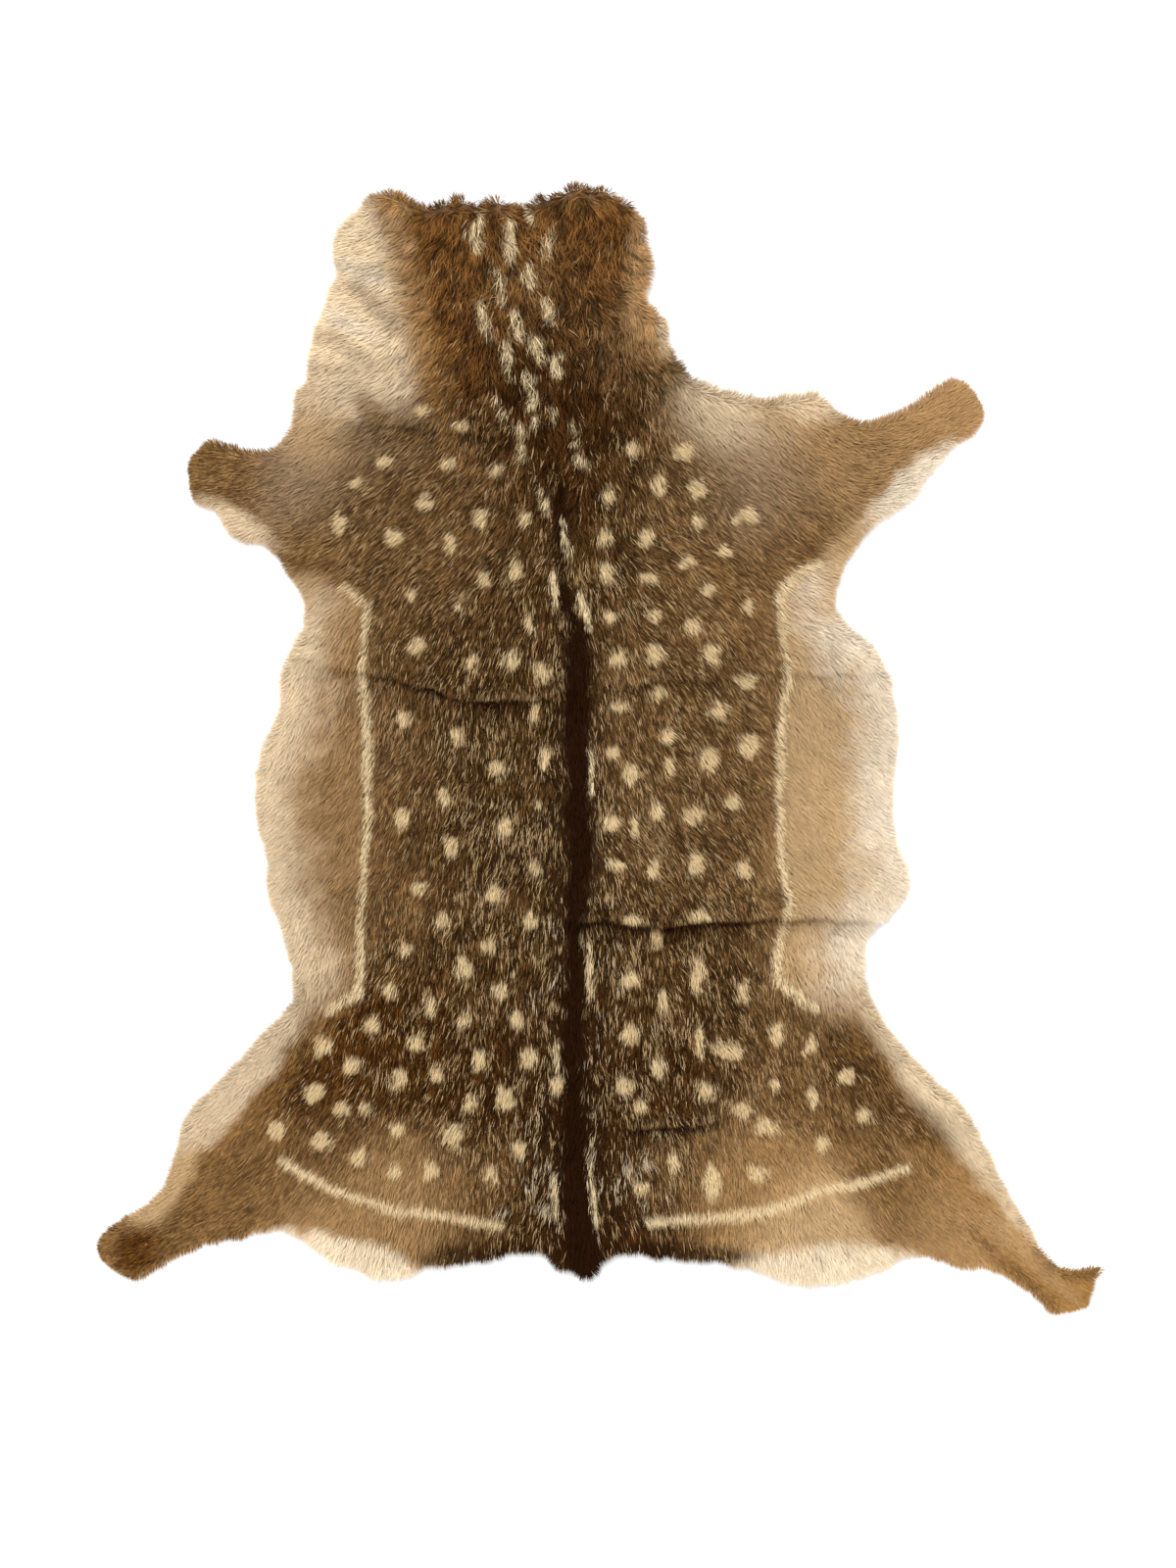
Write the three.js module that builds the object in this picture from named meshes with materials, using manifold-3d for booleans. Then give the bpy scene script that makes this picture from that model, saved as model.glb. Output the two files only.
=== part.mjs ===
// A whole deer hide with its hair on, spread out flesh side down, as one solid in millimetres.
// The neck points to +Y and the rump to -Y, +Z is up out of the coat, and z = 0 is the surface it lies on.
import * as THREE from "three";
import { mergeVertices } from "three/addons/utils/BufferGeometryUtils.js";
import Module from "manifold-3d";

const SKIN = 1.6; // the tanned skin alone
const RIM_COAT = 2.4; // coat left at the cut rim
const RIM_TAPER = 30; // width over which the coat thins towards the rim
const RIM_STEP = 10; // spacing of points round the rim
const CELL = 24; // pitch of the coat's grid
const FINE_CELL = 12; // pitch of the grid beside folds and at the curled foot
const GRID_X = 540;
const GRID_Y = 600;
const LUMP = 0.9; // lumps of the coat, up and down
const SPINE_RISE = 3;
const SPINE_HALF = 34;
const TROUGH_SHARE = 0.35; // share of the coat that parts below a fold

// The hide's edge, clockwise seen from above, in stretches of [x, y].
const EDGE = {
  neck: [
    [-273, 509], [-269, 527], [-245, 554], [-232, 565], [-209, 569], [-195, 558], [-175, 554],
    [-150, 560], [-134, 560], [-124, 552], [-115, 552], [-108, 564], [-91, 550], [-72, 556],
    [-47, 567], [-25, 573], [-9, 568], [2, 574], [19, 559], [31, 556],
  ],
  rightNeck: [
    [48, 526], [46, 509], [52, 487], [43, 463], [68, 436], [70, 415],
    [90, 383], [130, 366], [177, 359], [215, 366], [228, 360], [239, 347],
  ],
  rightForeleg: [
    [269, 335], [315, 352], [358, 379], [371, 374], [390, 347], [385, 325],
    [366, 313], [336, 279], [313, 249], [289, 236], [257, 202], [239, 157],
  ],
  rightFlank: [
    [243, 137], [275, 110], [296, 72], [304, 8], [298, -45], [304, -97],
    [317, -138], [293, -173], [276, -183], [270, -207], [271, -237],
  ],
  rightThigh: [[294, -284], [345, -339], [370, -363], [399, -415], [412, -441], [443, -494]],
  rightFoot: [
    [457, -515], [470, -527], [490, -527], [506, -522], [511, -512], [513, -524], [499, -551],
    [500, -566], [485, -572], [457, -573], [450, -563], [417, -541], [389, -528], [381, -532],
  ],
  rightRump: [
    [317, -516], [301, -526], [257, -540], [229, -545], [193, -541], [139, -524], [77, -517], [17, -513],
  ],
  tail: [[2, -519], [-9, -542], [-33, -528], [-42, -533], [-55, -512]],
  leftRump: [
    [-83, -512], [-143, -524], [-175, -525], [-209, -540], [-235, -534],
    [-285, -514], [-305, -498], [-331, -489], [-351, -496],
  ],
  leftFoot: [
    [-408, -509], [-453, -532], [-475, -541], [-506, -521], [-512, -502], [-497, -485], [-450, -451],
  ],
  leftThigh: [[-434, -410], [-422, -371], [-381, -329], [-341, -285], [-314, -256]],
  leftFlank: [
    [-312, -235], [-326, -180], [-341, -138], [-339, -118], [-352, -57],
    [-346, 0], [-327, 43], [-324, 85], [-304, 122], [-301, 149],
  ],
  leftForeleg: [
    [-309, 167], [-341, 209], [-368, 211], [-395, 244], [-413, 252],
    [-418, 272], [-414, 300], [-395, 317], [-373, 310], [-334, 307],
  ],
  leftNeck: [
    [-316, 329], [-311, 345], [-313, 361], [-299, 378], [-293, 418], [-276, 465], [-268, 483],
  ],
};

// Locks of hair that make the rim uneven: the stretch, and how far its locks stand out and in.
const LOCKS = { neck: 2.5, rightNeck: 1.8, tail: 2, rightRump: 2.2, leftRump: 2.2, leftNeck: 1.6 };
const PLAIN_LOCK = 1.1;

// Depth of the coat: rows of a middle [x, y], the reach round it and the depth there.
const COAT = [
  { part: "nape", x: -60, y: 470, reach: 150, depth: 14 },
  { part: "neck flap", x: -260, y: 450, reach: 80, depth: 8 },
  { part: "shoulders", x: -10, y: 280, reach: 190, depth: 12 },
  { part: "back", x: -20, y: 0, reach: 190, depth: 11 },
  { part: "rump", x: -20, y: -330, reach: 200, depth: 12 },
  { part: "left belly", x: -330, y: -60, reach: 100, depth: 6 },
  { part: "right belly", x: 290, y: -60, reach: 100, depth: 6 },
  { part: "left foreleg", x: -390, y: 270, reach: 80, depth: 6 },
  { part: "right foreleg", x: 340, y: 310, reach: 80, depth: 6 },
  { part: "left hind leg", x: -430, y: -460, reach: 100, depth: 6 },
  { part: "right hind leg", x: 430, y: -500, reach: 100, depth: 6 },
];

const SPINE = [[-40, 200], [-25, 75], [-23, -200], [-26, -500]];

// Folds left by packing: a path drawn with the gentle side on its left, the rise of the skin,
// and how far the fold reaches on the gentle and on the steep side.
const FOLDS = [
  { name: "left shoulder", path: [[-243, 333], [-173, 328], [-83, 320]], rise: 3, gentle: 26, steep: 14 },
  { name: "left middle", path: [[-323, 93], [-213, 75], [-133, 50], [-73, 50], [-38, 60]], rise: 4.5, gentle: 30, steep: 14 },
  { name: "right middle", path: [[27, 65], [87, 73], [292, 80]], rise: 3.5, gentle: 28, steep: 16 },
  { name: "right low", path: [[-15, -176], [67, -179], [177, -171], [274, -175]], rise: 5, gentle: 30, steep: 13 },
  { name: "rump", path: [[31, -386], [97, -381], [131, -373]], rise: 3, gentle: 24, steep: 13 },
  { name: "neck flap high", path: [[-270, 468], [-213, 455]], rise: 5, gentle: 26, steep: 22 },
  { name: "neck flap low", path: [[-280, 425], [-213, 395]], rise: 5, gentle: 28, steep: 22 },
  { name: "right hind leg", path: [[397, -485], [432, -520], [462, -545], [495, -548]], rise: 5, gentle: 20, steep: 18 },
];
const FOLD_ROWS = [[300, 350], [35, 100], [-195, -158], [-402, -362], [-580, -488]];
const FOOT_COLUMNS = [[420, 520]];

// The right hind foot curls up along its front edge: the hinge, with the curl on its left.
const CURL = { hinge: [[425, -500], [447, -527], [468, -542], [520, -542]], rise: 27, reach: 24, start: 0.3 };

function clamp(value, low, high) {
  return Math.min(Math.max(value, low), high);
}

function bump(t) {
  return t < 1 ? (1 - t * t) ** 2 : 0;
}

function smooth(t) {
  const share = clamp(t, 0, 1);
  return share * share * (3 - 2 * share);
}

// Nearest point of a path: its distance, the side it lies on (1 is left) and its share of the way along.
function nearest(path, x, y) {
  let best = { distance: Infinity, side: 1, along: 0 };
  for (let i = 0; i + 1 < path.length; i += 1) {
    const [ax, ay] = path[i];
    const dx = path[i + 1][0] - ax;
    const dy = path[i + 1][1] - ay;
    const t = clamp(((x - ax) * dx + (y - ay) * dy) / (dx * dx + dy * dy), 0, 1);
    const ex = x - ax - t * dx;
    const ey = y - ay - t * dy;
    const distance = Math.hypot(ex, ey);
    if (distance < best.distance) {
      best = { distance, side: dx * ey - dy * ex >= 0 ? 1 : -1, along: (i + t) / (path.length - 1) };
    }
  }
  return best;
}

// The edge as one closed curve, with locks of hair standing out and in from it.
function rimPoints() {
  const rows = Object.entries(EDGE).flatMap(([stretch, points]) =>
    points.map(([x, y]) => ({ x, y, lock: LOCKS[stretch] ?? PLAIN_LOCK })));
  const curve = new THREE.CatmullRomCurve3(rows.map(({ x, y }) => new THREE.Vector3(x, y, 0)), true, "centripetal");
  const count = Math.round(curve.getLength() / RIM_STEP);
  return Array.from({ length: count }, (_, i) => {
    const point = curve.getPointAt(i / count);
    const tangent = curve.getTangentAt(i / count);
    const row = rows[Math.floor(curve.getUtoTmapping(i / count) * rows.length) % rows.length];
    const out = row.lock * Math.sin(2.3 * i + 1.4 * Math.sin(0.71 * i));
    return new THREE.Vector2(point.x - tangent.y * out, point.y + tangent.x * out);
  });
}

function insideDistance(rim, x, y) {
  let distance = Infinity;
  let inside = false;
  rim.forEach((a, i) => {
    const b = rim[(i + 1) % rim.length];
    distance = Math.min(distance, nearest([[a.x, a.y], [b.x, b.y]], x, y).distance);
    if ((a.y > y) !== (b.y > y) && x < a.x + ((y - a.y) * (b.x - a.x)) / (b.y - a.y)) {
      inside = !inside;
    }
  });
  return inside ? distance : -distance;
}

// Height of the skin's underside above the surface.
function lift(x, y) {
  let height = 0;
  for (const fold of FOLDS) {
    const { distance, side } = nearest(fold.path, x, y);
    height = Math.max(height, fold.rise * bump(distance / (side > 0 ? fold.gentle : fold.steep)));
  }
  const { distance, side, along } = nearest(CURL.hinge, x, y);
  const turned = side > 0 ? smooth(distance / CURL.reach) * smooth(along / CURL.start) : 0;
  return Math.max(height, CURL.rise * turned);
}

// Depth of the coat on the skin, before it thins at the rim.
function coat(x, y) {
  let weight = 1e-3;
  let depth = 8 * weight;
  for (const row of COAT) {
    const share = Math.exp(-((x - row.x) ** 2 + (y - row.y) ** 2) / row.reach ** 2);
    weight += share;
    depth += share * row.depth;
  }
  let parted = 0;
  for (const fold of FOLDS) {
    const { distance, side } = nearest(fold.path, x, y);
    parted = side < 0 ? Math.max(parted, bump(distance / (1.6 * fold.steep))) : parted;
  }
  const lump = LUMP * Math.sin(x / 19 + 1.3 * Math.sin(y / 41)) * Math.sin(y / 23 + 1.1 * Math.sin(x / 37));
  const ridge = SPINE_RISE * bump(nearest(SPINE, x, y).distance / SPINE_HALF);
  return (depth / weight) * (1 - TROUGH_SHARE * parted) + lump + ridge;
}

// Grid lines from -end to end, closer together inside the given bands.
function ticks(end, bands) {
  const lines = [-end];
  while (lines[lines.length - 1] < end) {
    const last = lines[lines.length - 1];
    const fine = bands.some(([low, high]) => last >= low - FINE_CELL && last <= high);
    lines.push(last + (fine ? FINE_CELL : CELL));
  }
  return lines;
}

// A closed slab over a grid: the coat's upper side, the skin's underside and a wall all round.
function slab(rim) {
  const xs = ticks(GRID_X, FOOT_COLUMNS);
  const ys = ticks(GRID_Y, FOLD_ROWS);
  const columns = xs.length;
  const cells = xs.length * ys.length;
  const position = new Float32Array(cells * 2 * 3);
  ys.forEach((y, j) => xs.forEach((x, i) => {
    const low = lift(x, y);
    const grown = smooth(insideDistance(rim, x, y) / RIM_TAPER);
    const high = low + SKIN + RIM_COAT + Math.max(coat(x, y) - RIM_COAT, 0) * grown;
    const at = j * columns + i;
    position.set([x, y, low], at * 3);
    position.set([x, y, high], (cells + at) * 3);
  }));
  const index = [];
  for (let j = 0; j + 1 < ys.length; j += 1) {
    for (let i = 0; i + 1 < columns; i += 1) {
      const a = j * columns + i;
      const b = a + 1;
      const c = a + columns + 1;
      const d = a + columns;
      index.push(a, d, c, a, c, b);
      index.push(cells + a, cells + b, cells + c, cells + a, cells + c, cells + d);
    }
  }
  const wall = (a, b) => index.push(a, b, cells + b, a, cells + b, cells + a);
  for (let i = 0; i + 1 < columns; i += 1) {
    wall(i, i + 1);
    wall((ys.length - 1) * columns + i + 1, (ys.length - 1) * columns + i);
  }
  for (let j = 0; j + 1 < ys.length; j += 1) {
    wall((j + 1) * columns, j * columns);
    wall(j * columns + columns - 1, (j + 1) * columns + columns - 1);
  }
  const geometry = new THREE.BufferGeometry();
  geometry.setAttribute("position", new THREE.BufferAttribute(position, 3));
  geometry.setIndex(index);
  return geometry;
}

function cutter(rim) {
  const height = 200;
  const geometry = new THREE.ExtrudeGeometry(new THREE.Shape(rim), { depth: height, bevelEnabled: false });
  return geometry.translate(0, 0, -height / 2);
}

const wasm = await Module();
wasm.setup();

function solid(geometry) {
  const plain = new THREE.BufferGeometry();
  plain.setAttribute("position", geometry.getAttribute("position"));
  plain.setIndex(geometry.getIndex());
  const merged = mergeVertices(plain, 1e-4);
  return new wasm.Manifold(new wasm.Mesh({
    numProp: 3,
    vertProperties: new Float32Array(merged.getAttribute("position").array),
    triVerts: new Uint32Array(merged.getIndex().array),
  }));
}

const rim = rimPoints();
const cut = solid(slab(rim)).intersect(solid(cutter(rim))).getMesh();
const geometry = new THREE.BufferGeometry();
geometry.setAttribute("position", new THREE.BufferAttribute(new Float32Array(cut.vertProperties), 3));
geometry.setIndex(Array.from(cut.triVerts));
geometry.computeBoundingBox();
const { min, max } = geometry.boundingBox;
geometry.translate(-(min.x + max.x) / 2, -(min.y + max.y) / 2, -min.z);
geometry.computeVertexNormals();

const hide = new THREE.Mesh(geometry, new THREE.MeshStandardMaterial({ name: "hair_on_hide", color: 0x8a6a45, roughness: 0.9 }));
hide.name = "hide";
const group = new THREE.Group();
group.name = "deer_hide";
group.add(hide);

export default group;
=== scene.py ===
"""A whole deer hide with its hair on, spread flat: the skin, its coat of hairs and the coat's pattern.

Meshes are in metres in the frame's axes, with the neck towards +Y. The pattern's tables and the code
that lays the coat work in millimetres from the middle of the hide.
"""
import math

import bpy
import numpy as np
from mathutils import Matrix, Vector
from mathutils.bvhtree import BVHTree
from mathutils.geometry import delaunay_2d_cdt


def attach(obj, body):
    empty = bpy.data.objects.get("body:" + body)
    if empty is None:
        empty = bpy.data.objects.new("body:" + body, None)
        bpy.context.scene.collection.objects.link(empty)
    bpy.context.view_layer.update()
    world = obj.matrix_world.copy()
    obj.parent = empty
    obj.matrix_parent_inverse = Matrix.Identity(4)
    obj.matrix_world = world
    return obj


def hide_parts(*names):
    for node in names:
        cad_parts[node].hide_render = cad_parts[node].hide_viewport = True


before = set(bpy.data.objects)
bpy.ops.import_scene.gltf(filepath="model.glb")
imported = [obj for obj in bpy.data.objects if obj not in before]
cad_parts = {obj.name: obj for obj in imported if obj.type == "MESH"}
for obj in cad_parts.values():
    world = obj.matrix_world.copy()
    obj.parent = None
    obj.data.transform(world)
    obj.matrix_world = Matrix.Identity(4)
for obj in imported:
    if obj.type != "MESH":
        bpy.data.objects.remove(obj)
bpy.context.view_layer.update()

MM = 0.001
SEED = 41

SKIN_THICK = 1.5
SKIN_INSET = 6.0  # hair overhangs the skin by about this much
CUT_INSET = 2.0  # and by this much where the neck or a foot was cut off
SKIN_PITCH = 7.0
ROW_HEIGHT = 0.866  # rows of even triangles, in pitches
GRID_ROOM = 0.6  # pitches between the skin's inner points and its edge
EDGE_DEEP = 0.7  # points of the edge that lie less of the inset inside the rim are left out
SKIN_LOW = 0.05  # the flesh side stays at least this far above the floor
RIM_STEP = 6.0
RELIEF_STEP = 4.0
RELIEF_MARGIN = 8 * RELIEF_STEP
CARRY_STEPS = 6  # steps by which the underside's height is carried past the rim
WELD = 1e6  # points of the CAD mesh are joined to the nearest millionth of a metre
FACING_DOWN = -0.02

UNDER_HAIR = {"pitch": 1.86, "width": 1.15, "share": 0.80, "lift": 0.85}
GUARD_HAIR = {"pitch": 1.86, "width": 0.72, "share": 1.05, "lift": 1.10}
RIM_HAIR = {"pitch": 1.45, "width": 0.80, "share": 0.95, "lift": 0.80}
RIM_BAND = 16.0
TUFT_SIZE = 13.0
TUFT_PULL = 0.65
SMOOTH_COAT = 0.7  # a coat tousled no more than this has no tufts
RIM_TURN = 9.0  # hair this near the skin's edge turns outwards
STAND_DRAWN = 30.0  # rise of a hair's root as the blade is drawn, in degrees
BLADE_REACH = 0.94  # length of the blade as it is drawn
ROOT_SUNK = 0.2
ROOT_ROOM = 0.3  # roots stay this far inside the skin's edge
STRAY = 4.0  # degrees by which single hairs stray
RIM_OUTWARD = 0.75
CUT_RAGGED = 0.7
HAIR_SPREAD = 0.16
HAIR_SPAN = (4, 26)
RIM_SPREAD = 0.3
RIM_RAGGED = 2.0
RIM_LEAST = 3.0
LEAVING = 0.3  # hair that leaves the hide more than this is cut to the room at the rim
LIFT_SPREAD = 0.22
LIFT_SPAN = (0.4, 1.7)
PARTED_LIFT = 0.8
PARTED_LEAST = 6.0
PARTED_PAST = 2.0  # hair parted by a fold ends this far past its line
ROLL = {"spread": 0.38, "tousled": 1.3, "power": 1.5, "most": 0.9}
MAP_FILL = 0.96  # share of its cell of the colour map that a hair takes

# Colours of the coat, as red, green and blue from 0 to 255.
TINTS = {
    "stripe": (36, 17, 5),
    "dark": (33, 17, 5),
    "back": (95, 67, 35),
    "withers": (76, 46, 18),
    "brown": (125, 93, 56),
    "rump": (96, 60, 22),
    "neck": (126, 84, 42),
    "grey brown": (160, 134, 104),
    "leg": (138, 103, 62),
    "foot": (100, 64, 26),
    "ginger": (168, 126, 74),
    "seat": (164, 127, 82),
    "flank": (156, 122, 82),
    "tan": (168, 132, 88),
    "forefoot": (180, 142, 96),
    "sand": (192, 161, 119),
    "dull cream": (202, 181, 151),
    "cream": (213, 192, 160),
    "neck cream": (225, 204, 171),
    "pale": (222, 207, 184),
    "rump cream": (226, 209, 181),
    "spot": (222, 196, 150),
    "line": (231, 208, 165),
    "frost": (204, 184, 152),
    "tick": (194, 164, 120),
    "flesh": (221, 206, 182),
}

# How the coat lies: place, x, y, reach, lean from straight back in degrees (positive to the right),
# length of hair, rise of its root in degrees, how tousled it is and how much of it has pale tips.
LAY = [
    ("neck edge", -60, 550, 60, 0, 16, 38, 2.4, 0.10),
    ("nape", -70, 450, 100, -4, 19, 38, 2.6, 0.12),
    ("neck flap", -260, 455, 75, -72, 12, 22, 0.9, 0.0),
    ("neck right", 45, 470, 55, 38, 15, 34, 2.2, 0.1),
    ("withers", -40, 320, 90, 0, 18, 36, 2.0, 0.35),
    ("left shoulder", -200, 260, 120, -48, 13, 28, 1.0, 0.55),
    ("left foreleg", -390, 270, 70, -85, 10, 22, 0.8, 0.1),
    ("left armpit", -310, 170, 50, -60, 12, 24, 0.9, 0.2),
    ("right shoulder", 150, 270, 130, 48, 13, 28, 1.0, 0.6),
    ("right foreleg", 340, 320, 80, 122, 10, 22, 0.8, 0.0),
    ("right armpit", 240, 165, 50, 75, 12, 24, 0.8, 0.0),
    ("left back", -140, 20, 120, -12, 14, 28, 1.2, 0.9),
    ("right back", 110, 20, 120, 32, 14, 28, 1.3, 1.0),
    ("spine fore", -25, 60, 60, 2, 16, 34, 0.8, 0.7),
    ("spine hind", -25, -250, 60, 0, 16, 34, 0.8, 0.8),
    ("left flank", -290, -40, 90, -35, 11, 22, 0.7, 0.1),
    ("left belly", -345, -60, 50, -60, 10, 20, 0.7, 0.0),
    ("right flank", 235, -40, 90, 45, 11, 22, 0.7, 0.1),
    ("right belly", 300, -60, 50, 65, 10, 20, 0.7, 0.0),
    ("left rump", -150, -330, 120, -8, 14, 28, 1.2, 0.75),
    ("right rump", 110, -330, 120, 10, 14, 28, 1.3, 0.8),
    ("left haunch", -300, -370, 90, -35, 12, 24, 0.8, 0.25),
    ("left thigh edge", -380, -335, 45, -50, 10, 20, 0.7, 0.0),
    ("left hind leg", -440, -480, 90, -60, 9, 20, 0.7, 0.0),
    ("right haunch", 260, -370, 90, 35, 12, 24, 0.8, 0.3),
    ("right hind leg", 440, -520, 90, 50, 9, 20, 0.7, 0.0),
    ("left rump edge", -150, -505, 60, -5, 17, 28, 1.0, 0.3),
    ("right rump edge", 120, -505, 60, 5, 17, 28, 1.0, 0.3),
    ("tail", -15, -525, 35, 4, 20, 28, 1.0, 0.3),
]

# Ground colour of the coat, which runs smoothly from place to place: place, x, y, reach and tint.
GROUND = [
    ("neck left", -110, 500, 55, "neck"),
    ("neck right", 0, 500, 55, "neck"),
    ("neck middle", -75, 475, 45, "brown"),
    ("nape", -70, 400, 60, "withers"),
    ("nape left", -150, 400, 45, "neck"),
    ("nape right", 25, 420, 45, "brown"),
    ("withers", -40, 300, 70, "withers"),
    ("withers behind", -30, 180, 60, "back"),
    ("shoulder blade left", -150, 260, 60, "brown"),
    ("shoulder left", -235, 250, 50, "brown"),
    ("shoulder left edge", -305, 270, 40, "grey brown"),
    ("shoulder left rim", -290, 330, 35, "sand"),
    ("shoulder left top", -225, 325, 35, "grey brown"),
    ("shoulder blade right", 90, 260, 60, "brown"),
    ("shoulder right", 165, 270, 50, "grey brown"),
    ("shoulder right low", 205, 225, 40, "leg"),
    ("shoulder right edge", 240, 295, 40, "tan"),
    ("shoulder right top", 130, 340, 35, "cream"),
    ("shoulder right tip", 190, 350, 30, "sand"),
    ("foreleg left", -390, 275, 45, "leg"),
    ("foreleg right", 310, 320, 40, "tan"),
    ("forefoot right", 370, 350, 40, "forefoot"),
    ("elbow left", -300, 205, 35, "leg"),
    ("behind shoulder left", -210, 140, 55, "brown"),
    ("behind shoulder right", 140, 145, 55, "leg"),
    ("back left", -110, 60, 70, "back"),
    ("back right", 70, 60, 70, "brown"),
    ("side left", -205, 0, 50, "brown"),
    ("side right", 150, 0, 50, "brown"),
    ("mid back left", -100, -90, 70, "back"),
    ("mid back right", 60, -90, 70, "brown"),
    ("side hind left", -205, -150, 50, "brown"),
    ("side hind right", 150, -150, 50, "brown"),
    ("loin left", -100, -220, 70, "back"),
    ("loin right", 60, -220, 70, "back"),
    ("rump left", -100, -340, 60, "withers"),
    ("rump right", 60, -340, 60, "withers"),
    ("haunch left", -220, -310, 60, "rump"),
    ("haunch left out", -295, -330, 45, "rump"),
    ("haunch left low", -280, -410, 45, "brown"),
    ("haunch right", 190, -310, 50, "brown"),
    ("haunch right out", 255, -335, 45, "brown"),
    ("haunch right edge", 300, -360, 35, "brown"),
    ("seat left", -210, -440, 45, "tan"),
    ("seat left edge", -270, -475, 40, "tan"),
    ("seat left inner", -120, -450, 40, "leg"),
    ("seat right", 150, -430, 50, "seat"),
    ("seat right edge", 210, -490, 40, "sand"),
    ("seat right inner", 70, -440, 40, "brown"),
    ("root of tail left", -75, -475, 40, "withers"),
    ("root of tail right", 25, -475, 40, "withers"),
    ("thigh left", -350, -420, 45, "leg"),
    ("hind leg left", -430, -470, 50, "leg"),
    ("thigh right", 315, -430, 45, "leg"),
    ("hind leg right", 370, -480, 50, "tan"),
    ("hind foot right", 460, -545, 45, "ginger"),
]

# Soft patches laid over that ground, in order: place, x, y, half width, half height,
# turn in degrees, tint, how much of it covers and how soft its edge is.
PATCHES = [
    ("neck flap", -255, 462, 64, 135, 10, "neck cream", 1.0, 0.6),
    ("neck flap border", -188, 445, 18, 128, 14, "ginger", 0.7, 1.2),
    # painted highlights on the lit crests of the neck flap's waves
    ("neck flap crest highlight", -245, 488, 34, 10, -28, "pale", 0.7, 1.2),
    ("neck flap low crest highlight", -258, 434, 36, 11, -30, "pale", 0.7, 1.2),
    ("neck flap foot", -285, 366, 58, 28, 0, "dull cream", 0.7, 1.1),
    ("neck top ginger", -205, 560, 24, 16, 0, "ginger", 0.7, 0.9),
    ("neck top edge", -30, 562, 150, 12, 3, "leg", 0.5, 1.0),
    ("neck right edge", 43, 498, 17, 62, -3, "forefoot", 0.9, 1.0),
    ("neck right root", 52, 436, 30, 34, -20, "forefoot", 0.85, 0.9),
    ("neck right corner", 74, 430, 14, 26, -20, "cream", 0.7, 0.9),
    ("right shoulder tip", 215, 352, 34, 18, 0, "cream", 0.8, 0.9),
    ("right foreleg edge", 312, 260, 66, 21, 45, "pale", 1.0, 0.6),
    ("right armpit", 252, 186, 26, 55, -22, "sand", 0.8, 1.0),
    ("left foreleg edge", -374, 231, 46, 14, -30, "cream", 0.9, 1.1),
    # painted shade in the fold and the hollow of the left shoulder
    ("left shoulder shade", -215, 318, 48, 24, 0, "brown", 0.75, 1.0),
    ("left shoulder hollow shade", -233, 346, 20, 12, -40, "leg", 0.7, 1.0),
    ("left armpit", -305, 160, 22, 20, 0, "sand", 0.6, 1.0),
    ("left flank fore", -262, 122, 22, 40, 0, "ginger", 0.6, 1.0),
    ("left thigh shade", -318, -322, 44, 22, 45, "back", 0.4, 1.1),
    ("left thigh border", -345, -345, 112, 22, 47, "ginger", 0.35, 0.9),
    ("left thigh edge", -390, -350, 122, 30, 47, "dull cream", 1.0, 0.5),
    ("left shin edge", -446, -448, 56, 17, 54, "sand", 0.9, 0.9),
    ("right thigh border", 330, -360, 130, 34, -54, "ginger", 0.5, 0.9),
    ("right thigh edge", 352, -350, 130, 33, -54, "cream", 1.0, 0.6),
    ("right shin edge", 425, -470, 56, 12, -52, "cream", 0.7, 0.9),
    ("right haunch shade", 258, -322, 44, 34, -40, "back", 0.6, 1.1),
    ("right thigh shade", 322, -378, 48, 20, -35, "back", 0.6, 1.0),
    ("left hind foot", -474, -510, 26, 24, 30, "foot", 1.0, 0.9),
    ("left toe", -504, -512, 14, 18, 0, "leg", 0.7, 0.9),
    # painted highlight along the right shin's lit ridge, and painted shade in the hollow beside it
    ("right shin", 440, -518, 60, 10, -44, "sand", 0.4, 0.9),
    ("right shin hollow shade", 420, -530, 60, 7, -42, "leg", 0.6, 0.9),
    ("left rump edge", -262, -520, 84, 25, -12, "rump cream", 1.0, 0.5),
    ("right rump edge", 225, -532, 100, 28, 3, "rump cream", 1.0, 0.5),
    ("left dark fringe", -118, -514, 72, 12, 3, "stripe", 0.8, 0.8),
    ("right dark fringe", 78, -512, 76, 11, -3, "stripe", 0.8, 0.8),
]

# Pale lines between back and belly, from neck to tail, as points of x and y.
FLANK_LINES = {
    "left": [
        (-263, 165), (-239, 145), (-241, 120), (-244, 80), (-240, 45), (-238, 0), (-238, -65),
        (-241, -125), (-246, -180), (-244, -200), (-247, -250), (-278, -266),
    ],
    "right": [
        (222, 188), (202, 180), (187, 165), (184, 150), (187, 105), (192, 75), (184, 20), (182, -73),
        (184, -115), (193, -157), (187, -180), (179, -220), (183, -238), (202, -253), (217, -264),
    ],
}
FLANK_LINE_WIDTH = 8.0

# Pale lines across the haunches.
HAUNCH_LINES = {
    "left": [(-325, -419), (-313, -428), (-273, -449), (-213, -469), (-163, -475), (-101, -485)],
    "right": [(49, -483), (117, -476), (155, -474), (189, -465), (221, -450), (262, -443), (310, -428)],
}
HAUNCH_LINE_WIDTH = 8.5
LINE_SOFT = 8.0

# The dark stripe along the spine: x, y and width.
SPINE_STRIPE = [
    (-41, 265, 8), (-40, 165, 13), (-25, 125, 22), (-22, 65, 29), (-25, -35, 25), (-21, -95, 28),
    (-25, -165, 27), (-27, -255, 23), (-28, -335, 22), (-25, -435, 29), (-21, -495, 36),
    (-11, -545, 34),
]

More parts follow.
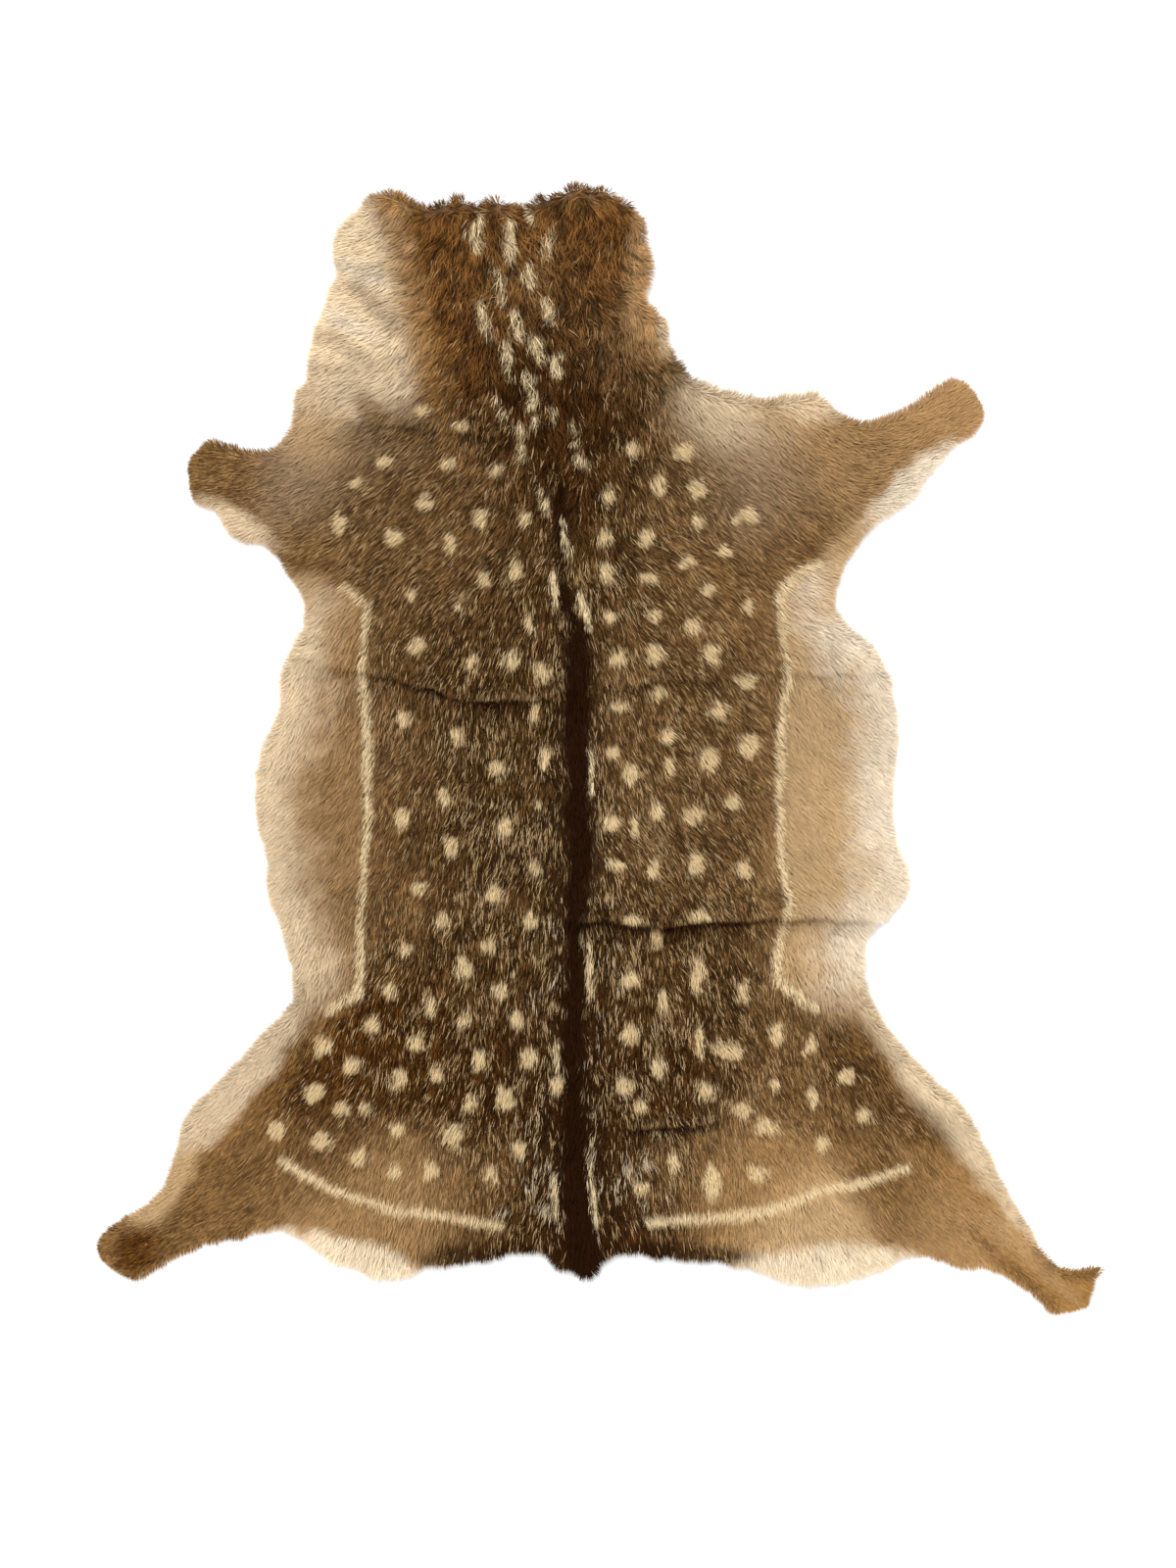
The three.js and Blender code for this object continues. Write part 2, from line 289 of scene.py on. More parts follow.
# Pale streaks on the neck and beside the withers: x, y of one end, x, y of the other, width at the middle.
STREAKS = [
    (-130, 536, -125, 506, 12), (-122, 543, -123, 525, 5), (-124, 550, -123, 545, 5),
    (-93, 540, -91, 491, 8), (-76, 551, -69, 536, 6), (-50, 530, -56, 501, 6),
    (-106, 490, -101, 474, 6), (-101, 476, -103, 453, 6), (-72, 495, -72, 468, 8),
    (-123, 457, -114, 415, 8), (-89, 447, -82, 415, 9), (-58, 459, -49, 432, 9),
    (-97, 415, -91, 377, 7), (-68, 420, -61, 393, 8), (-52, 396, -38, 401, 6), (-48, 390, -41, 380, 11),
    (-77, 384, -71, 363, 7), (-67, 362, -73, 345, 8), (-108, 358, -106, 352, 7),
    (-107, 344, -96, 340, 5), (-51, 354, -49, 333, 5), (-68, 340, -66, 328, 5), (-82, 330, -80, 293, 7),
    (-30, 331, -26, 322, 6), (-30, 314, -28, 308, 5), (-27, 299, -14, 287, 6), (-61, 265, -53, 238, 5),
    (-41, 234, -32, 197, 5), (-50, 181, -45, 146, 6), (-22, 160, -11, 122, 7), (-9, 0, -9, -46, 4),
    (-12, -196, -11, -256, 5), (-46, -296, -44, -330, 4), (-12, -420, -4, -490, 5),
    (-49, -432, -45, -480, 5),
]
STREAK_SOFT = 5.0

# Spots of the coat by the part of the body: x, y, width and height.
SPOTS = {
    "left shoulder": [
        (-183, 343, 14, 12), (-143, 328, 16, 10), (-220, 293, 14, 10), (-158, 290, 15, 12),
        (-107, 284, 13, 12), (-249, 271, 14, 11), (-180, 253, 14, 16), (-268, 231, 12, 20),
        (-211, 218, 20, 15), (-122, 234, 13, 17), (-78, 232, 13, 16), (-153, 208, 11, 20),
        (-87, 182, 12, 18), (-119, 174, 15, 14), (-194, 159, 12, 12), (-146, 144, 10, 11),
        (-73, 127, 11, 16), (-187, 105, 16, 18), (-131, 87, 12, 18), (-94, 91, 16, 20),
        (-61, 78, 17, 18),
    ],
    "left back": [
        (-67, 39, 10, 22), (-202, 31, 16, 14), (-147, 15, 15, 18), (-105, -21, 24, 16),
        (-58, -10, 9, 18), (-160, -50, 14, 18), (-201, -69, 14, 22), (-64, -56, 9, 12),
        (-97, -81, 16, 20), (-153, -98, 13, 20), (-69, -121, 14, 15), (-186, -140, 15, 14),
        (-106, -147, 15, 18), (-161, -175, 18, 14), (-71, -176, 11, 18), (-114, -201, 15, 15),
        (-200, -205, 15, 15), (-140, -223, 18, 22), (-214, -247, 15, 17), (-102, -246, 14, 16),
        (-173, -261, 12, 19), (-139, -275, 13, 15), (-86, -275, 13, 16),
    ],
    "left haunch": [
        (-235, -281, 17, 15), (-283, -304, 18, 18), (-188, -299, 17, 16), (-126, -317, 13, 18),
        (-75, -316, 15, 20), (-253, -323, 17, 15), (-207, -337, 17, 18), (-167, -332, 12, 19),
        (-45, -341, 14, 20), (-293, -350, 19, 18), (-133, -359, 17, 19), (-97, -357, 17, 22),
        (-265, -367, 15, 14), (-239, -365, 14, 16), (-331, -389, 14, 17), (-209, -389, 15, 15),
        (-150, -395, 18, 28), (-84, -406, 14, 19), (-285, -401, 19, 19), (-245, -416, 17, 19),
        (-211, -431, 15, 16), (-173, -430, 15, 17), (-113, -433, 17, 16),
    ],
    "right shoulder": [
        (30, 306, 15, 14), (86, 305, 20, 18), (59, 269, 13, 24), (100, 266, 19, 18), (7, 258, 15, 17),
        (98, 231, 13, 20), (151, 239, 20, 16), (139, 234, 10, 8), (5, 218, 16, 18), (48, 216, 18, 19),
        (127, 201, 14, 13), (90, 191, 18, 15), (5, 183, 17, 19), (51, 175, 17, 14), (110, 164, 14, 13),
        (150, 146, 9, 14), (8, 134, 13, 12), (54, 138, 17, 16), (94, 125, 18, 12),
    ],
    "right back": [
        (19, 93, 16, 16), (57, 96, 17, 19), (112, 96, 19, 20), (150, 70, 24, 13), (59, 57, 14, 14),
        (20, 43, 18, 10), (120, 37, 22, 18), (68, 14, 15, 14), (14, -4, 14, 13), (151, 4, 20, 22),
        (110, -10, 17, 24), (31, -26, 16, 16), (70, -19, 9, 20), (136, -55, 14, 15), (58, -62, 12, 22),
        (94, -68, 19, 18), (11, -74, 16, 14), (34, -80, 8, 20), (16, -117, 16, 12), (54, -123, 10, 20),
        (97, -116, 20, 24), (145, -121, 17, 16), (103, -170, 16, 12), (30, -174, 16, 10),
        (57, -191, 10, 22),
    ],
    "right haunch": [
        (98, -231, 15, 30), (30, -235, 16, 14), (145, -248, 13, 24), (63, -261, 12, 24),
        (29, -291, 20, 18), (179, -291, 14, 20), (101, -296, 8, 30), (214, -301, 14, 18),
        (129, -307, 26, 20), (59, -325, 14, 22), (249, -333, 15, 16), (178, -342, 13, 14),
        (25, -345, 17, 18), (105, -348, 22, 20), (217, -353, 12, 18), (41, -364, 12, 14),
        (144, -366, 18, 20), (270, -373, 15, 14), (170, -384, 22, 18), (225, -403, 14, 16),
        (74, -421, 12, 22), (160, -432, 22, 18), (114, -444, 18, 34), (41, -448, 16, 12),
    ],
}

# Packing folds, drawn with the dark trough on the right of the path, as points of x, y and depth of shade.
FOLDS = [
    [(-243, 333, 0.25), (-173, 328, 0.5), (-83, 320, 0.5)],
    [(-323, 93, 0.1), (-243, 82, 0.3), (-213, 75, 0.8), (-133, 50, 1.0), (-73, 50, 0.9), (-38, 60, 0.35)],
    [(27, 65, 0.45), (87, 73, 0.4), (150, 78, 0.2), (292, 80, 0.12)],
    [
        (-15, -176, 0.7), (67, -179, 0.95), (130, -175, 0.85), (177, -171, 0.6), (230, -172, 0.6),
        (274, -175, 0.25),
    ],
    [(31, -386, 0.85), (97, -381, 0.8), (131, -373, 0.3)],
]
FOLD_GAP = 9.0  # painted shade of the parted hair, this far below the fold's line
FOLD_FALL = 26.0  # soft shade below that
SHADE_TINT = (0.9, 1.0, 1.1)  # shade takes more of the blue than of the red
FOLD_RIDGE = 9.0  # painted highlight: pale hair on the fold's lit ridge, this far above its line

# Soft waves of the skin that shade the neck flap: points, half width and depth of shade.
WAVES = [
    ([(-272, 492), (-232, 489), (-205, 478)], 9, 0.16),
    ([(-250, 470), (-228, 450), (-210, 428)], 13, 0.34),
    ([(-292, 424), (-262, 414), (-236, 392)], 12, 0.24),
    ([(-312, 392), (-255, 386), (-205, 392)], 9, 0.16),
]

# Where the neck and the feet were cut off: place, x, y and reach.
CUT_EDGES = [
    ("neck left", -200, 575, 40),
    ("neck top", -110, 560, 60),
    ("neck right", 0, 570, 60),
    ("left forefoot", -425, 290, 40),
    ("right forefoot", 390, 362, 40),
    ("left hind foot", -512, -520, 45),
    ("right hind foot", 485, -556, 55),
]

# The flanks outside the flank lines: side, tint beside the line, tint at the rim, how much of the flank's
# tint shows inside the line and how much of the first covers outside it.
FLANKS = [
    ("left", "flank", "cream", 0.2, 0.95),
    ("right", "sand", "pale", 0.5, 0.88),
]

# Soft edges: how far before zero each starts, and the length over which it comes in.
FLANK_HIND = (40, 100)
FLANK_FORE = (25, 50)
FLANK_INNER = (42, 40)
FLANK_EDGE = (4, 16)
FLANK_RIM = (74, 62)
FOLD_START = (2, 4)
FOLD_GAP_SHADE = (FOLD_GAP, 6)
FOLD_SHADED = (FOLD_FALL, FOLD_FALL)
RIDGE_UPPER = (FOLD_RIDGE, FOLD_RIDGE)
RIDGE_LOWER = (2, 3)
PARTED_UPPER = (0, 4)
PARTED_LOWER = (1, 3)
WAVE_EDGE = (1.2, 1)
SPOT_EDGE = (1.37, 0.85)
FROST_FORE = (20, 380)
FROST_BESIDE = (4.4, 3)
FROST_HIND = (520, 60)
TUFT_GAP_SHADE = (-0.40, 0.25)

# Unevenness: its use, its strength, the size of its cells and the number of its pattern.
NOISE = {
    "patch": (1, 16, 1),
    "patch fine": (0.5, 6, 2),
    "lock": (1, 7, 3),
    "lock broad": (0.7, 19, 4),
    "spot": (0.40, 8, 5),
    "spot fine": (0.24, 4, 6),
    "flank line": (0.2, 13, 7),
    "flank line broad": (0.35, 37, 8),
    "flank line wander": (1.2, 21, 9),
    "haunch line": (0.2, 13, 8),
    "haunch line broad": (0.35, 37, 9),
    "haunch line wander": (1.2, 21, 10),
    "streak": (0.3, 7, 9),
    "tick": (0.9, 8, 9),
    "tick broad": (0.5, 21, 10),
    "frost": (0.9, 8, 19),
    "frost broad": (0.5, 21, 20),
    "fold": (3, 19, 11),
    "fold depth": (0.4, 23, 12),
    "ridge_highlight": (0.9, 12, 27),
    "wave": (3, 23, 18),
    "stripe": (4.5, 9, 13),
    "stripe broad": (3.5, 33, 14),
    "stray": (7, 9, 20),
    "stray broad": (12, 25, 21),
    "hair length": (0.12, 8, 22),
    "hair tone": (0.9, 3.2, 24),
    "tone broad": (0.06, 55, 25),
    "tone": (0.05, 24, 26),
}
TUFT_PATTERNS = {"x": 16, "y": 17, "tone": 15, "frost": 23}
TUFT_STRAY = 0.45  # share of its cell by which a tuft moves from the middle

# How the pattern covers the ground and the hairs take its colours, as shares.
PATCH_RAGGED = 0.14
FLANK_RAGGED = 10  # millimetres
STREAK_TIP = 0.3  # width of a streak's ends
FLANK_LINE_COVER = 0.86
FALL_SHADE = 0.6
FOLD_DEPTH = 0.9
RIDGE_SHARE = 0.45
MOST_SHADE = 0.92
STRIPE_SOFT = 11  # millimetres
STRIPE_DRAWN = 0.6  # the stripe's frayed edge is drawn out along the body
HALO = {"fore": 1.6, "hind": 0.7, "start": (50, 400), "cover": 0.7, "soft": 0.9}
CLUMP = {"share": 0.2, "drawn": 0.6, "drawn broad": 0.7}
HAIR_PLACES = {"body": 0.35, "tip": 0.72}  # where along a hair its body and tip take the pattern's colour
TIP_LIGHT = 1.15
BRIGHTNESS = (0.2126, 0.7152, 0.0722)
BROWN = {"under": 0.30, "run": 0.22}  # hair darker than the first counts as brown
TONE = {"hair": 0.6, "tousled": 0.42, "tuft": 0.5, "plain": 0.09, "brown": 0.20, "between_tuft_shade": 0.15}
TONE_SPAN = (0.3, 1.9)
DARK_HAIRS = {"share": 0.28, "ticked": 0.30, "lock": 0.12, "cover": 0.85}
TICKED = {"plain": 0.10, "clump": 0.34}
FROSTED = {"plain": 0.15, "clump": 0.5, "tufts": 0.7, "soft": 0.3}
PALE_COVER = {"body": 0.5, "tip": 0.92}
# Painted highlight of the folds' lit ridges: how much of it covers and the share of hairs it leaves bare.
RIDGE_HIGHLIGHT_HAIRS = {"cover": 0.7, "bare": 0.35}
MARK = {"cover": 0.96, "mix": 0.7, "least": 0.02}
TINT_SPAN = (0.001, 0.95)
# Down between the hairs: the share of the folds' painted shade it takes, and how much lighter it is under
# pale coat.
UNDERCOAT = {"shade": 0.8, "lighter": 0.5, "pale": (-0.25, 0.25)}

# The studio: name of a light, its place in metres, its softness in degrees and its strength.
LIGHTS = [
    ("key_light", (-0.6, 2.2, 2.0), 30, 2.6),
    ("fill_light", (1.4, -1.0, 2.6), 60, 0.6),
]
WORLD = {"Color": (1.0, 0.99, 0.97, 1), "Strength": 0.8}
FLOOR_HALF = 6.0
CAMERA_LENS = 80
CAMERA_SENSOR = 36
FRAME_HEIGHT = 1.6
FRAME_MIDDLE = (-0.013, -0.035)

random = np.random.default_rng(SEED)


# Small numeric helpers

def smooth(value):
    share = np.clip(value, 0, 1)
    return share * share * (3 - 2 * share)


def comes_in(value, edge):
    """From 0 to 1 as a value passes a soft edge."""
    early, run = edge
    return smooth((value + early) / run)


def linear(tint):
    """A tint of the palette as linear colour."""
    share = np.array(TINTS[tint]) / 255
    return np.where(share <= 0.04045, share / 12.92, ((share + 0.055) / 1.055) ** 2.4)


def scatter(i, j, seed):
    """A random number from -1 to 1 for each whole-numbered cell."""
    mixed = (i * 374761393 + j * 668265263 + seed * 1442695041) & 0xFFFFFFFF
    mixed = ((mixed ^ (mixed >> 13)) * 1274126177) & 0xFFFFFFFF
    return ((mixed ^ (mixed >> 16)) & 0xFFFF) / 32767.5 - 1


def cells(x, y, size):
    return np.floor(x / size).astype(np.int64), np.floor(y / size).astype(np.int64)


def noise(x, y, size, seed):
    """Smooth noise from -1 to 1 over cells of the given size."""
    i, j = cells(x, y, size)
    u = smooth(x / size - i)
    v = smooth(y / size - j)
    low = scatter(i, j, seed) * (1 - u) + scatter(i + 1, j, seed) * u
    high = scatter(i, j + 1, seed) * (1 - u) + scatter(i + 1, j + 1, seed) * u
    return low * (1 - v) + high * v


def grain(x, y, use):
    """Noise from its table."""
    strength, size, pattern = NOISE[use]
    return strength * noise(x, y, size, SEED + pattern)


def nearness(x, y, px, py, reach):
    return np.exp(-((x - px) ** 2 + (y - py) ** 2) / reach ** 2)


def blend(x, y, rows):
    """Columns of a table blended at points, from rows of x, y, reach and a list of values."""
    total = np.full(x.shape, 1e-9)
    blended = 0
    for px, py, reach, values in rows:
        share = nearness(x, y, px, py, reach)
        total += share
        blended = blended + share * np.array(values)[:, None]
    return blended / total


def nearest_on_path(path, x, y):
    """Distance to a path, the side (1 is left of it) and the place along it, counted in points."""
    best = np.full(x.shape, np.inf)
    side = np.ones(x.shape)
    along = np.zeros(x.shape)
    for i in range(len(path) - 1):
        ax, ay = path[i][:2]
        dx, dy = path[i + 1][0] - ax, path[i + 1][1] - ay
        share = np.clip(((x - ax) * dx + (y - ay) * dy) / (dx * dx + dy * dy), 0, 1)
        ex, ey = x - ax - share * dx, y - ay - share * dy
        distance = np.hypot(ex, ey)
        nearer = distance < best
        best = np.where(nearer, distance, best)
        side = np.where(nearer, np.where(dx * ey - dy * ex >= 0, 1, -1), side)
        along = np.where(nearer, i + share, along)
    return best, side, along


def third_along(path, along):
    """The third column of a path at places along it."""
    return np.interp(along, np.arange(len(path)), [row[2] for row in path])


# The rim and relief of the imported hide

def joined_cad(node):
    """Points in metres and triangles of a CAD node with its doubles joined."""
    mesh = node.data
    mesh.calc_loop_triangles()
    points = np.empty(len(mesh.vertices) * 3)
    mesh.vertices.foreach_get("co", points)
    triangles = np.empty(len(mesh.loop_triangles) * 3, np.int32)
    mesh.loop_triangles.foreach_get("vertices", triangles)
    rounded = np.round(points.reshape(-1, 3) * WELD).astype(np.int64)
    keys, back = np.unique(rounded, axis=0, return_inverse=True)
    return keys / WELD, back.reshape(-1)[triangles].reshape(-1, 3)


def border_edges(triangles):
    """Edges that only one triangle has, each as its two points in that triangle's order."""
    edges = [edge for p, q, r in triangles.tolist() for edge in ((p, q), (q, r), (r, p))]
    opposite = {(b, a) for a, b in edges}
    return [edge for edge in edges if edge not in opposite]


def rim_loop(points, triangles):
    """The hide's edge in millimetres, evenly spaced, from the line where its underside ends."""
    a, b, c = (points[triangles[:, k]] for k in range(3))
    normals = np.cross(b - a, c - a)
    upright = normals[:, 2] / np.maximum(np.linalg.norm(normals, axis=1), 1e-15)
    following = dict(border_edges(triangles[upright < FACING_DOWN]))
    loop = [min(following, key=lambda v: points[v, 0])]
    while following[loop[-1]] != loop[0]:
        loop.append(following[loop[-1]])
    path = points[loop][::-1, :2] / MM
    closed = np.vstack([path, path[:1]])
    length = np.concatenate([[0], np.cumsum(np.linalg.norm(np.diff(closed, axis=0), axis=1))])
    at = np.linspace(0, length[-1], round(length[-1] / RIM_STEP), endpoint=False)
    return np.stack([np.interp(at, length, closed[:, k]) for k in range(2)], axis=1)


class Relief:
    """Distance inside the rim and height of the hide's underside, over a grid that covers the hide."""

    def __init__(self, rim, tree):
        self.low = rim.min(axis=0) - RELIEF_MARGIN
        count = np.ceil((rim.max(axis=0) + RELIEF_MARGIN - self.low) / RELIEF_STEP).astype(int)
        xs = self.low[0] + RELIEF_STEP * np.arange(count[0])
        ys = self.low[1] + RELIEF_STEP * np.arange(count[1])
        x, y = (grid.ravel() for grid in np.meshgrid(xs, ys))
        distance = nearest_on_path(np.vstack([rim, rim[:1]]), x, y)[0]
        inside = np.zeros(x.shape, bool)
        for (ax, ay), (bx, by) in zip(rim, np.roll(rim, -1, axis=0)):
            if ay != by:
                inside ^= ((ay > y) != (by > y)) & (x < ax + (y - ay) * (bx - ax) / (by - ay))
        self.distance = np.where(inside, distance, -distance).reshape(len(ys), len(xs))
        self.height = self.underside(x, y, inside, tree).reshape(len(ys), len(xs))

    def underside(self, x, y, inside, tree):
        """Height of the underside, carried outwards past the rim."""
        height = np.full(x.shape, np.nan)
        for k in np.flatnonzero(inside):
            hit = tree.ray_cast(Vector((x[k] * MM, y[k] * MM, -1)), Vector((0, 0, 1)))[0]
            if hit is not None:
                height[k] = hit.z / MM
        grid = height.reshape(self.distance.shape)
        for _ in range(CARRY_STEPS):
            padded = np.pad(grid, 1, constant_values=np.nan)
            around = np.stack([padded[1:-1, :-2], padded[1:-1, 2:], padded[:-2, 1:-1], padded[2:, 1:-1]])
            known = ~np.isnan(around)
            mean = np.where(known, around, 0).sum(axis=0) / np.maximum(known.sum(axis=0), 1)
            grid = np.where(np.isnan(grid) & known.any(axis=0), mean, grid)
        grid = np.nan_to_num(grid)
        padded = np.pad(grid, 1, mode="edge")
        return (4 * grid + padded[1:-1, :-2] + padded[1:-1, 2:] + padded[:-2, 1:-1] + padded[2:, 1:-1]) / 8

    def read(self, field, x, y):
        """Value of a field at points, blended between the grid's points."""
        u = np.clip((x - self.low[0]) / RELIEF_STEP, 0, field.shape[1] - 1.001)
        v = np.clip((y - self.low[1]) / RELIEF_STEP, 0, field.shape[0] - 1.001)
        i, j = u.astype(int), v.astype(int)
        u, v = u - i, v - j
        low = field[j, i] * (1 - u) + field[j, i + 1] * u
        high = field[j + 1, i] * (1 - u) + field[j + 1, i + 1] * u
        return low * (1 - v) + high * v

    def slope(self, field, x, y):
        step = RELIEF_STEP
        return (
            (self.read(field, x + step, y) - self.read(field, x - step, y)) / (2 * step),
            (self.read(field, x, y + step) - self.read(field, x, y - step)) / (2 * step),
        )


# The coat's pattern

def patch_cover(x, y, row, ragged):
    place, px, py, half_width, half_height, turn, tint, cover, soft = row
    angle = math.radians(turn)
    u = (x - px) * math.cos(angle) + (y - py) * math.sin(angle)
    v = (y - py) * math.cos(angle) - (x - px) * math.sin(angle)
    reach = np.hypot(u / half_width, v / half_height) + PATCH_RAGGED * ragged
    return cover * smooth((1 + soft / 2 - reach) / soft)


def ground_colour(x, y):
    """The coat's ground colour, blended from the table."""
    rows = [(px, py, reach, linear(tint)) for place, px, py, reach, tint in GROUND]
    return np.ascontiguousarray(blend(x, y, rows).T)


def over(colour, tint, cover):
    """A tint laid over colours, by its cover."""
    return colour + (linear(tint) - colour) * cover[:, None]


def beyond_flank_line(x, y, side):
    """How far points lie outside a flank line, and how far they lie beside its length, from 0 to 1."""
    line = np.array(sorted(FLANK_LINES[side], key=lambda point: point[1]))
    beyond = x - np.interp(y, line[:, 1], line[:, 0])
    beside = comes_in(y - line[0, 1], FLANK_HIND) * comes_in(line[-1, 1] - y, FLANK_FORE)
    return -beyond if side == "left" else beyond, beside


def line_cover(x, y, path, width, use):
    """Cover of a pale line with uneven edges, which wanders and thins here and there."""
    wander = grain(x, y, use + " wander")
    distance = nearest_on_path(path, x + wander, y + wander)[0]
    half = 0.5 * width * (1 + grain(x, y, use) + grain(x, y, use + " broad"))
    return smooth((half - distance) / LINE_SOFT + 0.5)


def spot_cover(x, y):
    """Cover of all spots at points."""
    cover = np.zeros(x.shape)
    order = np.argsort(y)
    sorted_y = y[order]
    ragged = grain(x, y, "spot") + grain(x, y, "spot fine")
    for spots in SPOTS.values():
        for px, py, width, height in spots:
            near = order[slice(*np.searchsorted(sorted_y, (py - height, py + height)))]
            reach = np.hypot((x[near] - px) / (0.5 * width), (y[near] - py) / (0.5 * height))
            cover[near] = np.maximum(cover[near], comes_in(-reach - ragged[near], SPOT_EDGE))
    return cover


def streak_cover(x, y):
    """Cover of the streaks, each widest at its middle and drawn out towards its ends."""
    cover = np.zeros(x.shape)
    ragged = 1 + grain(x, y, "streak")
    for ax, ay, bx, by, width in STREAKS:
        distance, _, along = nearest_on_path([(ax, ay), (bx, by)], x, y)
        half = 0.5 * width * ragged * (STREAK_TIP + (1 - STREAK_TIP) * np.sqrt(4 * along * (1 - along)))
        cover = np.maximum(cover, smooth((half - distance) / STREAK_SOFT + 0.5))
    return cover


def fold_field(x, y):
    """For each point the distance below its nearest fold (negative above it), and that fold's depth."""
    best = np.full(x.shape, np.inf)
    below = np.full(x.shape, np.inf)
    depth = np.zeros(x.shape)
    for path in FOLDS:
        distance, side, along = nearest_on_path(path, x, y)
        nearer = distance < best
        best = np.where(nearer, distance, best)
        below = np.where(nearer, -distance * side, below)
        depth = np.where(nearer, third_along(path, along), depth)
    return below + grain(x, y, "fold"), depth * (FOLD_DEPTH + grain(x, y, "fold depth"))


def fold_marks(x, y):
    """Painted shade below the folds and along the waves, and a painted highlight on the folds' lit ridges.
    """
    below, depth = fold_field(x, y)
    # painted shade: dark in the parted gap below each fold's line, softer further below
    fall = np.maximum(comes_in(-below, FOLD_GAP_SHADE), FALL_SHADE * comes_in(-below, FOLD_SHADED))
    shade = depth * comes_in(below, FOLD_START) * fall
    ridge_highlight = depth * comes_in(below, RIDGE_UPPER) * comes_in(-below, RIDGE_LOWER)
    ridge_highlight = ridge_highlight * smooth(RIDGE_SHARE + grain(x, y, "ridge_highlight"))
    for path, half, dim in WAVES:
        distance = nearest_on_path(path, x, y)[0] + grain(x, y, "wave")
        shade = np.maximum(shade, dim * comes_in(-distance / half, WAVE_EDGE))
    return np.clip(shade, 0, MOST_SHADE), np.clip(ridge_highlight, 0, 1)


def coat_colour(x, y, inside):
    """Ground colour of the coat at points, the stripe's cover and the distance from it in widths."""
    ragged = grain(x, y, "patch") + grain(x, y, "patch fine")
    colour = ground_colour(x, y)
    for side, near, far, fade, cover in FLANKS:
        outside, beside = beyond_flank_line(x, y, side)
        colour = over(colour, "flank", fade * beside * comes_in(outside, FLANK_INNER))
        flank = beside * comes_in(outside, FLANK_EDGE)
        colour = over(colour, near, cover * flank)
        colour = over(colour, far, flank * comes_in(FLANK_RAGGED * ragged - inside, FLANK_RIM))
    for row in PATCHES:
        colour = over(colour, row[6], patch_cover(x, y, row, ragged))
    # broad uneven tone: painted soft shade and light of gentle waves in the skin
    colour = colour * (1 + grain(x, y, "tone broad") + grain(x, y, "tone"))[:, None]
    distance, _, along = nearest_on_path(SPINE_STRIPE, x, y)
    width = third_along(SPINE_STRIPE, along)
    frayed = distance - grain(x, STRIPE_DRAWN * y, "stripe") - grain(x, y, "stripe broad")
    stripe = smooth((0.5 * width - frayed) / STRIPE_SOFT + 0.5)
    halo = width * (HALO["fore"] + HALO["hind"] * comes_in(-y, HALO["start"]))
    colour = over(colour, "dark", HALO["cover"] * smooth((halo - distance) / (HALO["soft"] * halo)))
    colour = over(colour, "stripe", stripe)
    return colour, stripe, distance / width


def pale_lines(x, y):
    """Cover of the streaks and of the lines on flanks and haunches."""
    cover = streak_cover(x, y)
    for path in FLANK_LINES.values():
        flank = line_cover(x, y, path, FLANK_LINE_WIDTH, "flank line")
        cover = np.maximum(cover, FLANK_LINE_COVER * flank)
    for path in HAUNCH_LINES.values():
        cover = np.maximum(cover, line_cover(x, y, path, HAUNCH_LINE_WIDTH, "haunch line"))
    return cover


def pale_clumps(x, y, use):
    """Where hairs with pale tips gather, from 0 to 1: clumps drawn out along the body."""
    clumps = CLUMP["share"] + grain(x, CLUMP["drawn"] * y, use)
    return smooth(clumps + grain(x, CLUMP["drawn broad"] * y, use + " broad"))


